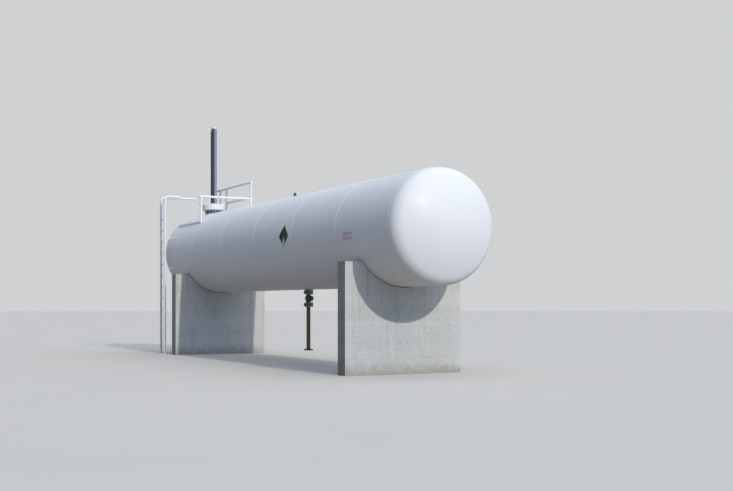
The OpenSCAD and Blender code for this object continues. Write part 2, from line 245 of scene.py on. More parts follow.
def tank_paint():
    t = Tree("tank_paint")
    white = (0.805, 0.808, 0.806)
    cloudy = t.mix(t.noise(0.7, 4.0), white, (0.765, 0.772, 0.775))
    # Rain streaks run down the sides, and are strongest below the middle
    streak_place = t.stretch(9.0, 0.25, 0.35)
    streaks = t.step(t.noise(1.0, 5.0, 0.62, streak_place), 0.50, 0.74)
    side = t.step(t.facing("Z"), 0.75, 0.0)
    low_side = t.step(t.axis("Z"), AXIS_Z + 0.3, AXIS_Z - SHELL_R)
    streak_share = t.times(streaks, t.times(side, t.spread(low_side, 0.05, 0.24)))
    streaked = t.mix(streak_share, cloudy, (0.58, 0.55, 0.50))
    # Dust lies on what faces up
    patches = t.step(t.noise(3.2, 5.0, 0.65), 0.42, 0.72)
    dust = t.times(t.step(t.facing("Z"), 0.80, 1.0), patches)
    dusty = t.mix(t.times(dust, 0.30), streaked, (0.63, 0.59, 0.52))
    # The belly is greyer, with mottled road dust
    belly = t.times(t.step(t.facing("Z"), -0.55, -1.0), t.spread(t.noise(5.0, 4.0), 0.25, 0.6))
    soiled = t.mix(belly, dusty, (0.60, 0.57, 0.52))
    # Paint is thinner and slightly yellowed beside the welds
    near_weld = t.step(seam_distance(t), 0.055, 0.008)
    weld_share = t.times(near_weld, t.spread(t.noise(11.0, 4.0), 0.05, 0.30))
    welded = t.mix(weld_share, soiled, (0.66, 0.62, 0.53))
    # A few small rust bleeds
    specks = t.step(t.cells(2.6), 0.050, 0.020)
    chosen = t.step(t.noise(0.9, 1.0), 0.58, 0.62)
    rusty = t.mix(t.times(t.times(specks, chosen), 0.7), welded, (0.33, 0.17, 0.08))
    # Two faded, blank bars where the side carried small marks
    bars = t.math(
        "MAXIMUM",
        box_mask(t, {"X": BAR_X, "Z": UPPER_BAR_Z, "Y": NEAR_SIDE_Y}, 0.006),
        box_mask(t, {"X": BAR_X, "Z": LOWER_BAR_Z, "Y": NEAR_SIDE_Y}, 0.006),
    )
    worn = t.times(bars, t.spread(t.noise(5.0, 3.0), 0.50, 0.78))
    marked = t.mix(worn, rusty, (0.42, 0.31, 0.38))
    # Painted shade, with some grime, darkens the neck under the manway's flange
    beside = t.minus(t.axis("X"), MANWAY_X)
    radial = t.math("SQRT", t.plus(t.times(beside, beside), t.times(t.axis("Y"), t.axis("Y"))))
    on_neck = t.step(radial, NECK_R + 0.011, NECK_R + 0.005)
    under = t.step(t.axis("Z"), FLANGE_Z + 0.001, FLANGE_Z - 0.004)
    neck_shade_and_grime = t.times(t.times(on_neck, under), t.spread(t.noise(14.0, 4.0), 0.75, 1.0))
    color = t.mix(neck_shade_and_grime, marked, (0.035, 0.048, 0.070))
    rough = t.spread(t.noise(6.0, 5.0), 0.46, 0.60)
    rough = t.plus(rough, t.times(streak_share, 0.5))
    rough = t.plus(rough, t.times(dust, 0.35))
    t.bump([
        (t.noise(1.3, 2.0), 0.25, 0.010),
        (t.noise(9.0, 3.0), 0.10, 0.0015),
        (t.noise(260.0, 2.0), 0.06, 0.0006),
    ])
    t.shader.inputs["Coat Weight"].default_value = 0.04
    t.shader.inputs["Coat Roughness"].default_value = 0.22
    return t.finish(color, rough)


def stack_tone(t):
    """Dark blue-grey, with a painted highlight on the side that faces the light."""
    base = t.mix(t.noise(3.0, 4.0), (0.046, 0.060, 0.088), (0.034, 0.045, 0.068))
    # Painted highlight: the side turned to the front end and the far side is lighter
    sunny = t.plus(t.times(t.facing("X"), 0.80), t.times(t.facing("Y"), 0.60))
    painted_lit_side = t.times(t.step(sunny, 0.55, 0.92), t.spread(t.noise(9.0, 4.0), 0.75, 1.0))
    return t.mix(painted_lit_side, base, (0.29, 0.325, 0.37))


def rail_paint():
    t = Tree("rail_paint")
    base = t.mix(t.noise(4.0, 4.0), (0.86, 0.86, 0.83), (0.78, 0.78, 0.74))
    chips = t.step(t.noise(42.0, 6.0, 0.7), 0.67, 0.70)
    patches = t.step(t.noise(2.2, 3.0), 0.50, 0.60)
    chipped = t.mix(t.times(chips, patches), base, (0.30, 0.15, 0.07))
    bleed = t.step(t.noise(1.0, 5.0, 0.6, t.stretch(30.0, 30.0, 2.5)), 0.62, 0.76)
    bled = t.mix(t.times(bleed, 0.28), chipped, (0.48, 0.33, 0.20))
    # The clamp band of the rain cap was painted with the stack, and carries its painted highlight too
    margin = 0.010
    band = box_mask(t, {
        "X": (HINGE_LOW.x - margin, HINGE_HIGH.x + margin),
        "Y": (HINGE_LOW.y + STRAP_T + 0.001, HINGE_HIGH.y + margin),
        "Z": (HINGE_LOW.z - margin, HINGE_LOW.z + CLAMP_BAND_H + margin),
    }, 0.002)
    color = t.mix(band, bled, stack_tone(t))
    rough = t.spread(t.noise(18.0, 4.0), 0.30, 0.52)
    t.bump([(t.noise(38.0, 3.0), 0.22, 0.0015), (t.noise(420.0, 2.0), 0.12, 0.0005)])
    return t.finish(color, rough)


def stack_paint():
    t = Tree("stack_paint")
    color = stack_tone(t)
    streaks = t.step(t.noise(1.0, 5.0, 0.6, t.stretch(26.0, 26.0, 0.9)), 0.52, 0.74)
    color = t.mix(t.times(streaks, 0.22), color, (0.22, 0.24, 0.27))
    rust = t.step(t.noise(26.0, 6.0, 0.72), 0.68, 0.72)
    color = t.mix(t.times(rust, 0.7), color, (0.22, 0.11, 0.06))
    t.bump([(t.noise(34.0, 3.0), 0.15, 0.001), (t.noise(300.0, 2.0), 0.1, 0.0004)])
    t.shader.inputs["Specular IOR Level"].default_value = 0.30
    return t.finish(color, t.spread(t.noise(12.0, 4.0), 0.36, 0.50), 0.1)


def concrete():
    t = Tree("concrete")
    base = t.mix(t.noise(1.6, 6.0, 0.6), (0.66, 0.66, 0.62), (0.51, 0.51, 0.475))
    # Each lift of the pour has its own tone
    lifts = t.noise(1.0, 1.0, 0.5, t.stretch(0.05, 0.05, 2.4))
    base = t.mix(t.times(t.step(lifts, 0.45, 0.60), 0.35), base, (0.71, 0.71, 0.67))
    mottles = t.step(t.noise(14.0, 6.0, 0.7), 0.48, 0.70)
    mottled = t.mix(t.times(mottles, 0.40), base, (0.37, 0.365, 0.335))
    # Painted shade: the narrow ends, which face sideways, are darkened
    end_face = t.step(t.math("ABSOLUTE", t.facing("Y")), 0.60, 0.90)
    painted_end_shade = t.times(end_face, t.spread(t.noise(2.6, 5.0, 0.6), 0.50, 0.85))
    end_shaded = t.mix(painted_end_shade, mottled, (0.18, 0.18, 0.165))
    # Dark water stains run down from the seat and the top
    runs = t.step(t.noise(1.0, 6.0, 0.65, t.stretch(7.0, 7.0, 0.45)), 0.52, 0.70)
    below_top = t.step(t.axis("Z"), 0.5, PIER_TOP)
    stained = t.mix(t.times(runs, t.spread(below_top, 0.12, 0.48)), end_shaded, (0.25, 0.235, 0.20))
    # Soil splashed up the foot
    splash = t.step(t.plus(t.axis("Z"), t.times(t.noise(7.0, 5.0), 0.35)), 0.46, 0.16)
    splashed = t.mix(t.times(splash, 0.62), stained, (0.30, 0.225, 0.155))
    # Small air holes in the cast face
    holes = t.step(t.cells(34.0), 0.16, 0.07)
    sparse = t.step(t.noise(5.0, 2.0), 0.48, 0.56)
    pits = t.times(holes, sparse)
    color = t.mix(t.times(pits, 0.75), splashed, (0.14, 0.13, 0.115))
    # Joints between the boards of the form
    board_h = 0.305
    share = t.math("FRACT", t.math("DIVIDE", t.axis("Z"), board_h))
    joint = t.step(t.math("ABSOLUTE", t.minus(share, 0.5)), 0.485, 0.498)
    color = t.mix(t.times(joint, 0.35), color, (0.28, 0.265, 0.23))
    rough = t.spread(t.noise(20.0, 5.0), 0.80, 0.97)
    t.bump([
        (t.noise(2.2, 3.0), 0.45, 0.012),
        (t.noise(26.0, 6.0, 0.65), 0.40, 0.005),
        (t.minus(1.0, pits), 0.70, 0.006),
        (t.minus(1.0, joint), 0.45, 0.004),
        (t.noise(190.0, 3.0), 0.35, 0.0018),
    ])
    return t.finish(color, rough)


def pad_rubber():
    t = Tree("pad_rubber")
    color = t.mix(t.step(t.noise(16.0, 5.0), 0.45, 0.75), (0.035, 0.034, 0.033), (0.15, 0.135, 0.115))
    t.bump([(t.noise(70.0, 4.0), 0.4, 0.001)])
    return t.finish(color, t.spread(t.noise(30.0), 0.75, 0.95))


def rusty_iron():
    t = Tree("rusty_iron")
    base = t.mix(t.noise(9.0, 6.0, 0.65), (0.20, 0.095, 0.050), (0.33, 0.165, 0.080))
    scale = t.mix(t.step(t.noise(46.0, 6.0, 0.7), 0.46, 0.66), base, (0.105, 0.060, 0.040))
    primer = t.step(t.noise(3.4, 5.0, 0.6), 0.55, 0.64)
    color = t.mix(t.times(primer, 0.55), scale, (0.33, 0.25, 0.205))
    t.bump([(t.noise(52.0, 6.0, 0.7), 0.55, 0.003), (t.noise(300.0, 3.0), 0.3, 0.0008)])
    return t.finish(color, t.spread(t.noise(20.0, 4.0), 0.68, 0.92), 0.15)


def valve_paint():
    t = Tree("valve_paint")
    base = t.mix(t.noise(7.0, 4.0), (0.022, 0.075, 0.055), (0.040, 0.100, 0.078))
    chips = t.step(t.noise(30.0, 6.0, 0.72), 0.60, 0.64)
    color = t.mix(chips, base, (0.22, 0.105, 0.055))
    dust = t.times(t.step(t.facing("Z"), 0.3, 0.95), t.noise(12.0, 4.0))
    color = t.mix(t.times(dust, 0.6), color, (0.42, 0.37, 0.30))
    t.bump([(t.noise(60.0, 4.0), 0.45, 0.002), (t.minus(1.0, chips), 0.4, 0.0008)])
    return t.finish(color, t.spread(t.noise(14.0, 4.0), 0.35, 0.65))


def dark_iron():
    t = Tree("dark_iron")
    base = t.mix(t.noise(15.0, 5.0), (0.055, 0.062, 0.080), (0.10, 0.10, 0.11))
    color = t.mix(t.step(t.noise(26.0, 6.0, 0.7), 0.56, 0.70), base, (0.20, 0.11, 0.065))
    t.bump([(t.noise(80.0, 5.0), 0.4, 0.0015)])
    return t.finish(color, t.spread(t.noise(22.0), 0.45, 0.75), 0.4)


def bolt_steel():
    t = Tree("bolt_steel")
    base = t.mix(t.noise(30.0, 4.0), (0.46, 0.46, 0.45), (0.30, 0.29, 0.28))
    color = t.mix(t.step(t.noise(55.0, 5.0, 0.7), 0.52, 0.66), base, (0.27, 0.14, 0.07))
    t.bump([(t.noise(240.0, 3.0), 0.3, 0.0006)])
    return t.finish(color, t.spread(t.noise(40.0), 0.38, 0.65), 0.6)


def plaque_paint():
    """A blank plaque: a dark peak of two tones over a pale lower corner."""
    t = Tree("plaque_paint")
    middle = centre("diamond_plaque")
    across = t.minus(t.axis("X"), middle.x)
    up = t.minus(t.axis("Z"), middle.z)
    ragged = t.times(t.minus(t.noise(30.0, 3.0), 0.5), 0.018)
    slope = t.times(t.math("ABSOLUTE", across), 1.9)
    above = t.plus(t.plus(up, slope), ragged)
    dark = t.mix(t.step(across, -0.012, 0.012), (0.010, 0.014, 0.040), (0.045, 0.042, 0.020))
    pale = t.mix(t.noise(10.0, 4.0), (0.52, 0.53, 0.56), (0.62, 0.62, 0.62))
    color = t.mix(t.step(above, 0.004, -0.004), dark, pale)
    fade = t.times(t.step(t.noise(17.0, 5.0, 0.65), 0.60, 0.78), 0.22)
    color = t.mix(fade, color, (0.46, 0.45, 0.43))
    t.bump([(t.noise(90.0, 3.0), 0.15, 0.0008)])
    t.shader.inputs["Specular IOR Level"].default_value = 0.22
    return t.finish(color, t.spread(t.noise(20.0), 0.60, 0.80))


TANK = tank_paint()
RAIL = rail_paint()
CONCRETE = concrete()
PAD = pad_rubber()
RUST = rusty_iron()
VALVE = valve_paint()
IRON = dark_iron()
BOLT = bolt_steel()
PLAQUE = plaque_paint()
STACK = stack_paint()

SLOT_OF = {
    "tank_paint": TANK,
    "rail_paint": RAIL,
    "stack_paint": STACK,
    "concrete": CONCRETE,
    "bearing_pad": PAD,
    "rusty_pipe": RUST,
    "valve_paint": VALVE,
    "fitting_iron": IRON,
    "plaque_paint": PLAQUE,
}


def dress_nodes():
    """Gives each node of the frame its material, with softened edges where they show."""
    bevels = {
        "front_pier": 0.016, "rear_pier": 0.016,
        "manway_flange": 0.005, "manway_cover": 0.005, "stack_collar": 0.004,
        "rain_cap": 0.003, "cap_hinge": 0.0015, "cap_lever": 0.002,
        "outlet_nozzle": 0.003, "outlet_valve": 0.003, "drop_pipe": 0.002,
        "ladder_feet": 0.002, "ladder_brackets": 0.0015, "crown_fitting": 0.003,
    }
    slots = {s["node"]: s["material_slot"] for s in frame["record"]["subparts"]}
    for name, obj in NODES.items():
        obj.data.materials.clear()
        obj.data.materials.append(SLOT_OF[slots[name]])
        if name in bevels:
            bevel = obj.modifiers.new("edge", "BEVEL")
            bevel.width = bevels[name]
            bevel.segments = 3
            bevel.limit_method = "ANGLE"
            bevel.angle_limit = math.radians(40)
            bevel.harden_normals = True


# Making meshes

def make(name, vertices, faces, material, replaced=(), smooth=True):
    """Links one mesh piece that rides on the tank."""
    mesh = bpy.data.meshes.new(name)
    mesh.from_pydata([tuple(v) for v in vertices], [], faces)
    mesh.validate()
    mesh.update()
    for polygon in mesh.polygons:
        polygon.use_smooth = smooth
    mesh.materials.append(material)
    obj = bpy.data.objects.new(name, mesh)
    bpy.context.scene.collection.objects.link(obj)
    if replaced:
        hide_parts(*replaced)
    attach(obj, "root")
    return obj


def sharpen(obj, degrees=35):
    """Keeps edges over this angle sharp on a smooth piece."""
    obj.data.set_sharp_from_angle(angle=math.radians(degrees))


class Parts:
    """Collects closed solids that become one mesh."""

    def __init__(self):
        self.vertices = []
        self.faces = []

    def grid(self, rings):
        """Joins rings of equal length into a tube with closed ends."""
        start = len(self.vertices)
        count = len(rings[0])
        for ring in rings:
            self.vertices.extend(ring)
        for i in range(len(rings) - 1):
            a = start + i * count
            for j in range(count):
                k = (j + 1) % count
                self.faces.append((a + j, a + k, a + count + k, a + count + j))
        self.faces.append(tuple(start + j for j in reversed(range(count))))
        last = start + (len(rings) - 1) * count
        self.faces.append(tuple(last + j for j in range(count)))

    def loop(self, rings):
        """Joins rings into a closed loop, as a bead round a pipe."""
        start = len(self.vertices)
        count = len(rings[0])
        total = len(rings)
        for ring in rings:
            self.vertices.extend(ring)
        for i in range(total):
            a = start + i * count
            b = start + ((i + 1) % total) * count
            for j in range(count):
                k = (j + 1) % count
                self.faces.append((a + j, a + k, b + k, b + j))

    def turned(self, profile, origin, axis, sides=24):
        """Turns a profile of (radius, height) round an axis from origin."""
        self.grid([
            circle(origin + axis * height, axis, radius, sides)
            for radius, height in profile
        ])

    def bead(self, path, radius, closed=True, sides=6, seed=0.0):
        """A weld bead: a thin, slightly uneven tube along a path of points."""
        rings = []
        total = len(path)
        for i, point in enumerate(path):
            ahead = path[(i + 1) % total] if closed or i < total - 1 else point
            behind = path[i - 1] if closed or i > 0 else point
            swell = radius * (1 + 0.16 * noise.noise(point * 18 + Vector((seed, 0, 0))))
            rings.append(circle(point, (ahead - behind).normalized(), swell, sides))
        if closed:
            self.loop(rings)
        else:
            self.grid(rings)

    def hexagon(self, origin, axis, radius, height, turn=0.0):
        """A nut or a bolt head with its corners chamfered."""
        self.grid([
            circle(origin + axis * (height * lift), axis, radius * share, 6, turn)
            for share, lift in ((0.86, 0.0), (1.0, 0.10), (1.0, 0.86), (0.86, 1.0))
        ])

    def make(self, name, material, slot, smooth=True, sharp=35):
        obj = make(name, self.vertices, self.faces, material, smooth=smooth)
        if smooth:
            sharpen(obj, sharp)
        return obj


def across(axis):
    """Two unit directions square to an axis, the first one level where it can be."""
    axis = axis.normalized()
    helper = Vector((0, 0, 1)) if abs(axis.z) < 0.9 else Vector((1, 0, 0))
    side = helper.cross(axis).normalized()
    return side, axis.cross(side)


def circle(origin, axis, radius, count, turn=0.0):
    """Points round a circle."""
    side, other = across(axis)
    angles = [turn + TAU * i / count for i in range(count)]
    return [
        origin + (side * math.cos(angle) + other * math.sin(angle)) * radius
        for angle in angles
    ]


def shell_point(x, radius, angle, sign=1):
    """A point on a ring round the tank's axis. The sign sets which way the ring runs."""
    return Vector((x, -sign * radius * math.cos(angle), AXIS_Z + radius * math.sin(angle)))


def plate_wave(x, angle):
    """How far the rolled plate stands off a true cylinder: dents of under 2 mm."""
    spot = Vector((x * 0.9, math.cos(angle) * 1.3, math.sin(angle) * 1.3))
    nearest = min(abs(x - s) for s in SEAMS)
    draw_in = 0.0008 * math.exp(-((nearest / 0.080) ** 2))
    return 0.0011 * noise.noise(spot) - draw_in


def shell_courses():
    """Rolled courses with the slight waves of real plate, closed inside and at both ends."""
    between = [0.06 + 0.88 * i / 20 for i in range(1, 20)]
    shares = [0, 0.012, 0.03, 0.06, *between, 0.94, 0.97, 0.988, 1]
    angles = [TAU * j / SHELL_SIDES for j in range(SHELL_SIDES)]
    for index, node in enumerate(COURSES):
        x_front = SEAMS[index]
        x_rear = SEAMS[index + 1]
        rings = []
        for share in shares:
            x = x_rear + (x_front - x_rear) * share
            rings.append([
                shell_point(x, SHELL_R - SKIN + plate_wave(x, angle), angle)
                for angle in angles
            ])
        for x in (x_front, x_rear):
            rings.append([shell_point(x, SHELL_R - PLATE_T, angle) for angle in angles])
        parts = Parts()
        parts.loop(rings)
        obj = make(f"rolled_{node}", parts.vertices, parts.faces, TANK, [node])
        sharpen(obj, 50)


def head_outline(inset, steps):
    """Half the outline of a dished head as radius and depth, from its rim to its crown."""
    crown_r = 2 * SHELL_R
    crown_angle = math.asin((SHELL_R - KNUCKLE_R) / (crown_r - KNUCKLE_R))
    knuckle_turn = math.pi / 2 - crown_angle
    outline = []
    for i in range(steps + 1):
        angle = knuckle_turn * i / steps
        outline.append((
            SHELL_R - KNUCKLE_R + (KNUCKLE_R - inset) * math.cos(angle),
            HEAD_SKIRT + (KNUCKLE_R - inset) * math.sin(angle),
        ))
    for i in range(1, steps):
        angle = crown_angle * (1 - i / steps)
        outline.append((
            (crown_r - inset) * math.sin(angle),
            HEAD_SKIRT + HEAD_DEPTH - crown_r + (crown_r - inset) * math.cos(angle),
        ))
    outline.append((0.004, HEAD_SKIRT + HEAD_DEPTH - inset))
    return outline


def heads():
    """Pressed heads: a short skirt, a tight knuckle and a flat crown."""
    angles = [TAU * j / SHELL_SIDES for j in range(SHELL_SIDES)]
    for node, start, sign in (("front_head", SHELL_FRONT, 1), ("rear_head", SHELL_REAR, -1)):
        outline = [(SHELL_R - 2 * SKIN, 0.0), (SHELL_R - SKIN, 0.012)]
        outline += head_outline(SKIN, 30)
        inner = list(reversed(head_outline(PLATE_T, 10)))
        inner.append((SHELL_R - PLATE_T, 0.0))
        rings = []
        for radius, depth in outline + inner:
            x = start + sign * depth
            ring = []
            for angle in angles:
                spot = Vector((x, math.cos(angle) * radius * 1.2, math.sin(angle) * radius * 1.2))
                wavy = radius + 0.0010 * noise.noise(spot) * min(1.0, radius)
                ring.append(shell_point(x, wavy, angle, sign))
            rings.append(ring)
        parts = Parts()
        parts.loop(rings)
        obj = make(f"pressed_{node}", parts.vertices, parts.faces, TANK, [node])
        sharpen(obj, 50)


def shell_welds():
    """The raised beads of the girth seams and of the long seam of each course."""
    parts = Parts()
    for index, x in enumerate(SEAMS):
        path = circle(Vector((x, 0, AXIS_Z)), X, SHELL_R - 0.0050, 300)
        parts.bead(path, 0.0090, seed=index * 3.1)
    # The long seams of neighbouring courses lie on either side of the crown
    steps = 60
    for index in range(COURSE_COUNT):
        angle = math.radians(62 if index % 2 else 118)
        y = math.cos(angle) * (SHELL_R - 0.003)
        z = AXIS_Z + math.sin(angle) * (SHELL_R - 0.003)
        path = [Vector((SEAMS[index] - COURSE_L * i / steps, y, z)) for i in range(steps + 1)]
        parts.bead(path, 0.0055, closed=False, seed=40 + index)
    parts.make("shell_weld_beads", TANK, "tank_paint")


def saddle_path(origin_x, radius, lift, top=True, count=96):
    """The line where an upright pipe meets the shell, lifted a little off it."""
    side = 1 if top else -1
    path = []
    for i in range(count):
        angle = TAU * i / count
        y = radius * math.sin(angle)
        rise = math.sqrt((SHELL_R + lift) ** 2 - y * y)
        path.append(Vector((origin_x + radius * math.cos(angle), y, AXIS_Z + side * rise)))
    return path


def neck_welds():
    """Fillet welds round the manway's neck, the stack's foot and the crown fitting."""
    parts = Parts()
    parts.bead(saddle_path(MANWAY_X, NECK_R + 0.004, 0.003), 0.011, seed=1)
    under_flange = Vector((MANWAY_X, 0, FLANGE_Z - 0.003))
    parts.bead(circle(under_flange, Z, NECK_R + 0.004, 72), 0.009, seed=2)
    stack_foot = Vector((MANWAY_X, 0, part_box("stack_collar")[1].z + 0.002))
    parts.bead(circle(stack_foot, Z, half_width("vent_stack") + 0.003, 60), 0.0075, seed=3)
    fitting_r = half_width("crown_fitting") + 0.003
    parts.bead(saddle_path(centre("crown_fitting").x, fitting_r, 0.002, True, 48), 0.0065, seed=4)
    parts.make("fitting_weld_beads", TANK, "tank_paint")


def pipe_welds():
    """Welds where the outlet meets the belly and where the flanges meet the pipe."""
    parts = Parts()
    x = centre("outlet_nozzle").x
    radius = OUTLET_PIPE_R + 0.003
    parts.bead(saddle_path(x, radius, 0.002, False, 48), 0.007, seed=5)
    drop_low, drop_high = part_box("drop_pipe")
    past_flange = OUTLET_FLANGE_T + 0.002
    heights = (
        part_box("outlet_nozzle")[0].z + past_flange,
        drop_high.z - past_flange,
        drop_low.z + past_flange,
    )
    for z in heights:
        parts.bead(circle(Vector((x, 0, z)), Z, radius, 48), 0.0065, seed=z)
    parts.make("pipe_weld_beads", RUST, "rusty_pipe")


def rail_welds():
    """Welds at the feet and joints of the guard rail and the ladder."""
    parts = Parts()
    for node in ("near_post", "far_front_post", "far_middle_post", "far_rear_post"):
        foot_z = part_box(node)[0].z + 0.002
        middle = centre(node)
        radius = half_width(node)
        joint_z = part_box(node)[1].z - radius * 0.72
        foot = Vector((middle.x, middle.y, foot_z))
        parts.bead(circle(foot, Z, radius + 0.002, 36), 0.0055, seed=middle.x)
        joint = Vector((middle.x, middle.y, joint_z))
        parts.bead(circle(joint, Z, radius + 0.0005, 36), 0.0035, seed=middle.y)
    for node in ("ladder_front_stile", "ladder_rear_stile"):
        middle = centre(node)
        radius = half_width(node)
        foot = Vector((middle.x, middle.y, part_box(node)[0].z + 0.002))
        parts.bead(circle(foot, Z, radius + 0.002, 32), 0.005, seed=middle.x)
        joint = Vector((middle.x, middle.y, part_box(node)[1].z))
        parts.bead(circle(joint, Z, radius - 0.0005, 32), 0.003, seed=middle.x + 1)
    rungs_low, rungs_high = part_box("ladder_rungs")
    rung_r = (rungs_high.y - rungs_low.y) / 2
    y = (rungs_low.y + rungs_high.y) / 2
    count = round((rungs_high.z - rungs_low.z - 2 * rung_r) / RUNG_PITCH) + 1
    for i in range(count):
        z = rungs_low.z + rung_r + i * RUNG_PITCH
        for x in (rungs_low.x + 0.003, rungs_high.x - 0.003):
            parts.bead(circle(Vector((x, y, z)), X, rung_r + 0.0015, 20), 0.004, seed=z)
    # Each bracket is welded to the shell all round its foot
    brackets_low, brackets_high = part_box("ladder_brackets")
    w = BRACKET_HALF_W + 0.002
    h = BRACKET_HALF_T + 0.002
    corners = ((-w, -h), (0.0, -h), (w, -h), (w, h), (0.0, h), (-w, h))
    for x in (brackets_low.x + BRACKET_HALF_W, brackets_high.x - BRACKET_HALF_W):
        for z in (brackets_low.z + BRACKET_HALF_T, brackets_high.z - BRACKET_HALF_T):
            path = []
            for dx, dz in corners:
                y = -math.sqrt(SHELL_R ** 2 - (z + dz - AXIS_Z) ** 2) - 0.001
                path.append(Vector((x + dx, y, z + dz)))
            parts.bead(path, 0.004, seed=x + z)
    parts.make("rail_weld_beads", RAIL, "rail_paint")


def rail_caps():
    """Domed plugs on the open pipe ends."""
    parts = Parts()
    dome = [(1.0, -0.25), (1.0, 0.0), (0.93, 0.18), (0.72, 0.36), (0.40, 0.47), (0.05, 0.5)]

    def cap(origin, axis, radius, reach=0.012):
        profile = [(share * radius * 1.02, lift * reach) for share, lift in dome]
        parts.turned(profile, origin, axis, 28)

    rail_r = half_width("cross_rail")
    middle = centre("cross_rail")
    cap(Vector((middle.x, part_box("cross_rail")[0].y, middle.z)), -Y, rail_r)
    middle = centre("far_top_rail")
    rear_end, front_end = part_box("far_top_rail")
    cap(Vector((front_end.x, middle.y, middle.z)), X, rail_r)
    cap(Vector((rear_end.x + 0.004, middle.y, middle.z)), -X, rail_r, 0.008)
    for node in ("front_grab_rail", "rear_grab_rail"):
        radius = half_width(node)
        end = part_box(node)[1]
        cap(Vector((centre(node).x, end.y, end.z - radius)), Y, radius)
    parts.make("pipe_end_caps", RAIL, "rail_paint")


def studs(parts, x, circle_r, count, low_z, high_z, stud_r, nut_r, nut_h):
    """A ring of upright studs round (x, 0) with a nut at each end."""
    for i in range(count):
        angle = TAU * (i + 0.5) / count
        foot = Vector((x + math.cos(angle) * circle_r, math.sin(angle) * circle_r, 0))
        turn = dice.uniform(0, 1)
        foot.z = low_z - nut_h - 0.008
        tall = high_z - low_z + 2 * nut_h + 0.020
        profile = [(stud_r * 0.8, 0), (stud_r, 0.002), (stud_r, tall - 0.002), (stud_r * 0.8, tall)]
        parts.turned(profile, foot, Z, 12)
        foot.z = low_z - nut_h
        parts.hexagon(foot, Z, nut_r, nut_h, turn)
        foot.z = high_z
        parts.hexagon(foot, Z, nut_r, nut_h, turn + 0.4)


def bolting():
    """Studs of the manway cover, bolts of the stack collar and studs of the two valve joints."""
    white = Parts()
    cover_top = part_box("manway_cover")[1].z
    studs(
        white, MANWAY_X, circle_r=0.266, count=20, low_z=FLANGE_Z, high_z=cover_top,
        stud_r=0.0125, nut_r=0.0235, nut_h=0.024,
    )
    collar_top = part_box("stack_collar")[1].z
    collar_bolts = 8
    collar_circle_r = 0.109
    for i in range(collar_bolts):
        angle = TAU * (i + 0.5) / collar_bolts
        x = MANWAY_X + collar_circle_r * math.cos(angle)
        spot = Vector((x, collar_circle_r * math.sin(angle), collar_top))
        white.hexagon(spot, Z, 0.0135, 0.012, dice.uniform(0, 1))
    white.make("manway_studs", TANK, "tank_paint", smooth=False)

    rusty = Parts()
    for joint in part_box("outlet_valve"):
        studs(
            rusty, centre("outlet_valve").x, circle_r=OUTLET_BOLT_CIRCLE_R, count=OUTLET_BOLTS,
            low_z=joint.z - OUTLET_FLANGE_T, high_z=joint.z + OUTLET_FLANGE_T,
            stud_r=0.0095, nut_r=0.0165, nut_h=0.017,
        )
    rusty.make("valve_studs", BOLT, "rusty_pipe", smooth=False)


def valve_trim():
    """The bonnet's cover with its bolts and the boss of the stem."""
    parts = Parts()
    low_corner, high_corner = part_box("outlet_valve")
    middle = Vector((high_corner.x, 0, (low_corner.z + high_corner.z) / 2))
    # Radius and height over the sunk foot of the cover
    sunk = 0.016
    cover = [(0.001, 0.0), (0.058, 0.0), (0.061, 0.003), (0.061, 0.011), (0.058, 0.014)]
    stem = [(0.030, 0.014), (0.028, 0.034), (0.001, 0.034)]
    parts.turned([(radius, height - sunk) for radius, height in cover + stem], middle, X, 40)
    bolts = 6
    bolt_circle_r = 0.047
    for i in range(bolts):
        angle = TAU * i / bolts
        reach = Vector((0, math.cos(angle) * bolt_circle_r, math.sin(angle) * bolt_circle_r))
        parts.hexagon(middle + reach - X * 0.002, X, 0.0095, 0.009, angle)
    parts.make("valve_bonnet_cover", VALVE, "valve_paint", sharp=30)


def pier_ties():
    """Patched form-tie holes in the broad faces of both piers."""
    parts = Parts()
    plug = [(0.019, -0.010), (0.019, 0.0004), (0.016, 0.0016), (0.011, 0.0007), (0.003, 0.0003)]
    spots = [(y, z) for y in (-1.05, -0.35, 0.35, 1.05) for z in (0.40, 1.05, 1.75)]
    for node in ("front_pier", "rear_pier"):
        a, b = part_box(node)
        for x, axis in ((a.x, -X), (b.x, X)):
            for y, z in spots:
                clear_of_seat = math.hypot(y, z - AXIS_Z) >= SHELL_R + 0.10
                if clear_of_seat:
                    spot = Vector((x, y + dice.uniform(-0.01, 0.01), z + dice.uniform(-0.01, 0.01)))
                    parts.turned(plug, spot, axis, 20)
    parts.make("form_tie_plugs", CONCRETE, "concrete", sharp=60)


def foot_bolts():
    """Anchor bolts through the ladder's foot plates."""
    parts = Parts()
    plate_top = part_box("ladder_feet")[1].z
    thread = [(0.006, 0.010), (0.0075, 0.0115), (0.0075, 0.024), (0.006, 0.026)]
    for node in ("ladder_front_stile", "ladder_rear_stile"):
        middle = centre(node)
        for dx in (-0.045, 0.045):
            spot = Vector((middle.x + dx, middle.y - 0.030, plate_top))
            parts.hexagon(spot, Z, 0.013, 0.011, dice.uniform(0, 1))
            parts.turned(thread, spot, Z, 12)
    parts.make("foot_anchor_bolts", BOLT, "rail_paint", smooth=False)


def cap_trim():
    """The hinge pin, the clamp bolts and the flat boss of the rain cap."""
    parts = Parts()
    middle = centre("cap_hinge")
    pin = [(0.004, 0.0), (0.0065, 0.002), (0.0065, 0.064), (0.004, 0.066)]
    pin_start = Vector((middle.x - 0.033, HINGE_LOW.y + 0.004, HINGE_HIGH.z - 0.012))
    parts.turned(pin, pin_start, X, 16)
    for lift in (0.012, 0.032):
        bolt = Vector((middle.x, HINGE_LOW.y, HINGE_LOW.z + lift))
        parts.hexagon(bolt, -Y, 0.010, 0.007, 0.3)
    boss = [(0.060, -0.002), (0.060, -0.0004), (0.056, 0.0), (0.001, 0.0)]
    parts.turned(boss, Vector((middle.x, 0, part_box("rain_cap")[1].z)), Z, 40)
    parts.make("rain_cap_pin_and_bolts", RAIL, "rail_paint", sharp=30)


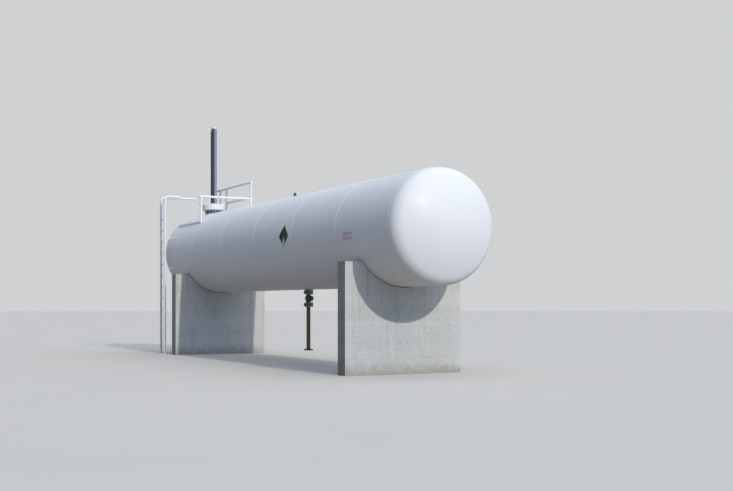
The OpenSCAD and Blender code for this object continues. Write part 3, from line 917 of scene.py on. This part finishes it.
def fitting_trim():
    """The rims of the crown fitting's plug and coupling."""
    parts = Parts()
    x = centre("crown_fitting").x
    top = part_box("crown_fitting")[1].z
    plug_rim = [(0.0285, -0.030), (0.0300, -0.026), (0.0300, -0.014), (0.0285, -0.010)]
    parts.turned(plug_rim, Vector((x, 0, top)), Z, 32)
    coupling_rim = [(0.0375, 0.0), (0.0385, 0.003), (0.0385, 0.010), (0.0375, 0.013)]
    parts.turned(coupling_rim, Vector((x, 0, top - 0.059)), Z, 32)
    parts.make("crown_fitting_rims", IRON, "fitting_iron", sharp=30)


def plaque_screws():
    """A small screw near each corner of the plaque."""
    parts = Parts()
    middle = centre("diamond_plaque")
    reach = half_width("diamond_plaque") * 0.82
    head = [(0.0085, 0.0), (0.0085, 0.0015), (0.0070, 0.0032), (0.0035, 0.0042), (0.0008, 0.0044)]
    for dx, dz in ((reach, 0), (-reach, 0), (0, reach), (0, -reach)):
        up = middle.z + dz - AXIS_Z
        outward = Vector((0, -math.sqrt(SHELL_R ** 2 - up ** 2), up)).normalized()
        spot = Vector((middle.x + dx, 0, AXIS_Z)) + outward * (SHELL_R + 0.0028)
        parts.turned(head, spot, outward, 16)
    parts.make("plaque_screws", BOLT, "plaque_paint", sharp=40)


# Light, floor and camera

def seen_rays(nodes, links):
    """One where a ray comes from the eye, a mirror or glass, and nought elsewhere."""
    path = nodes.new("ShaderNodeLightPath")
    total = path.outputs["Is Camera Ray"]
    for name in ("Is Glossy Ray", "Is Transmission Ray"):
        larger = nodes.new("ShaderNodeMath")
        larger.operation = "MAXIMUM"
        links.new(total, larger.inputs[0])
        links.new(path.outputs[name], larger.inputs[1])
        total = larger.outputs[0]
    return total


def backdrop():
    """Soft light from overhead and the front end, and the plain backdrop that the camera sees."""
    world = bpy.data.worlds.new("studio")
    bpy.context.scene.world = world
    world.use_nodes = True
    nodes = world.node_tree.nodes
    links = world.node_tree.links
    nodes.clear()
    output = nodes.new("ShaderNodeOutputWorld")
    light = nodes.new("ShaderNodeBackground")
    light.inputs["Strength"].default_value = 1.78
    coord = nodes.new("ShaderNodeTexCoord")
    # The light grows with how far a direction leans towards this one, and little comes in low
    lean = nodes.new("ShaderNodeVectorMath")
    lean.operation = "DOT_PRODUCT"
    links.new(coord.outputs["Generated"], lean.inputs[0])
    lean.inputs[1].default_value = (0.34, 0.18, 0.94)
    ramp = nodes.new("ShaderNodeValToRGB")
    links.new(lean.outputs["Value"], ramp.inputs["Fac"])
    first, last = ramp.color_ramp.elements
    first.position = 0.0
    first.color = (0.016, 0.020, 0.030, 1)
    last.position = 1.0
    last.color = (0.94, 0.965, 0.985, 1)
    ramp.color_ramp.elements.new(0.38).color = (0.028, 0.045, 0.095, 1)
    ramp.color_ramp.elements.new(0.68).color = (0.30, 0.43, 0.67, 1)
    links.new(ramp.outputs["Color"], light.inputs["Color"])
    shown = nodes.new("ShaderNodeBackground")
    shown.inputs["Color"].default_value = (0.625, 0.64, 0.65, 1)
    shown.inputs["Strength"].default_value = 1.0
    mix = nodes.new("ShaderNodeMixShader")
    links.new(seen_rays(nodes, links), mix.inputs["Fac"])
    links.new(light.outputs[0], mix.inputs[1])
    links.new(shown.outputs[0], mix.inputs[2])
    links.new(mix.outputs[0], output.inputs["Surface"])


def key_light():
    """A low key lamp from the front end, almost along the tank."""
    key = bpy.data.lights.new("key", "SUN")
    key.energy = 1.70
    key.angle = math.radians(1.0)
    key.color = (1.0, 0.962, 0.91)
    lamp = bpy.data.objects.new("key", key)
    bpy.context.scene.collection.objects.link(lamp)
    height = math.radians(27)
    turn = math.radians(1.5)
    level = Vector((math.cos(turn), math.sin(turn), 0)) * math.cos(height)
    towards = level + Z * math.sin(height)
    lamp.rotation_euler = towards.to_track_quat("Z", "Y").to_euler()


def floor():
    """A round, pale, dull floor. It throws back less light than it shows to the camera."""
    t = Tree("floor_grey")
    pale = t.mix(t.noise(0.5, 3.0), (0.585, 0.545, 0.48), (0.615, 0.575, 0.51))
    t.finish(t.mix(seen_rays(t.nodes, t.links), (0.29, 0.272, 0.245), pale), 0.9)
    mesh = bpy.data.meshes.new("floor")
    sides = 120
    mesh.from_pydata(circle(Vector((0, 0, 0)), Z, 220.0, sides), [], [tuple(range(sides))])
    mesh.materials.append(t.material)
    ground = bpy.data.objects.new("floor", mesh)
    bpy.context.scene.collection.objects.link(ground)


def camera():
    """The photograph's level camera, near the ground off the front end."""
    data = bpy.data.cameras.new("camera")
    data.sensor_width = 36.0
    data.lens = 54.02
    data.shift_y = 0.0811
    data.clip_end = 400.0
    eye = bpy.data.objects.new("camera", data)
    bpy.context.scene.collection.objects.link(eye)
    eye.location = (18.347, -10.526, 1.323)
    look = Vector((-0.8823, 0.4707, 0.0))
    eye.rotation_euler = look.to_track_quat("-Z", "Y").to_euler()
    bpy.context.scene.camera = eye


dress_nodes()
shell_courses()
heads()
shell_welds()
neck_welds()
pipe_welds()
rail_welds()
rail_caps()
bolting()
valve_trim()
pier_ties()
foot_bolts()
cap_trim()
fitting_trim()
plaque_screws()
backdrop()
key_light()
floor()
camera()
bpy.context.scene.view_settings.view_transform = "Standard"
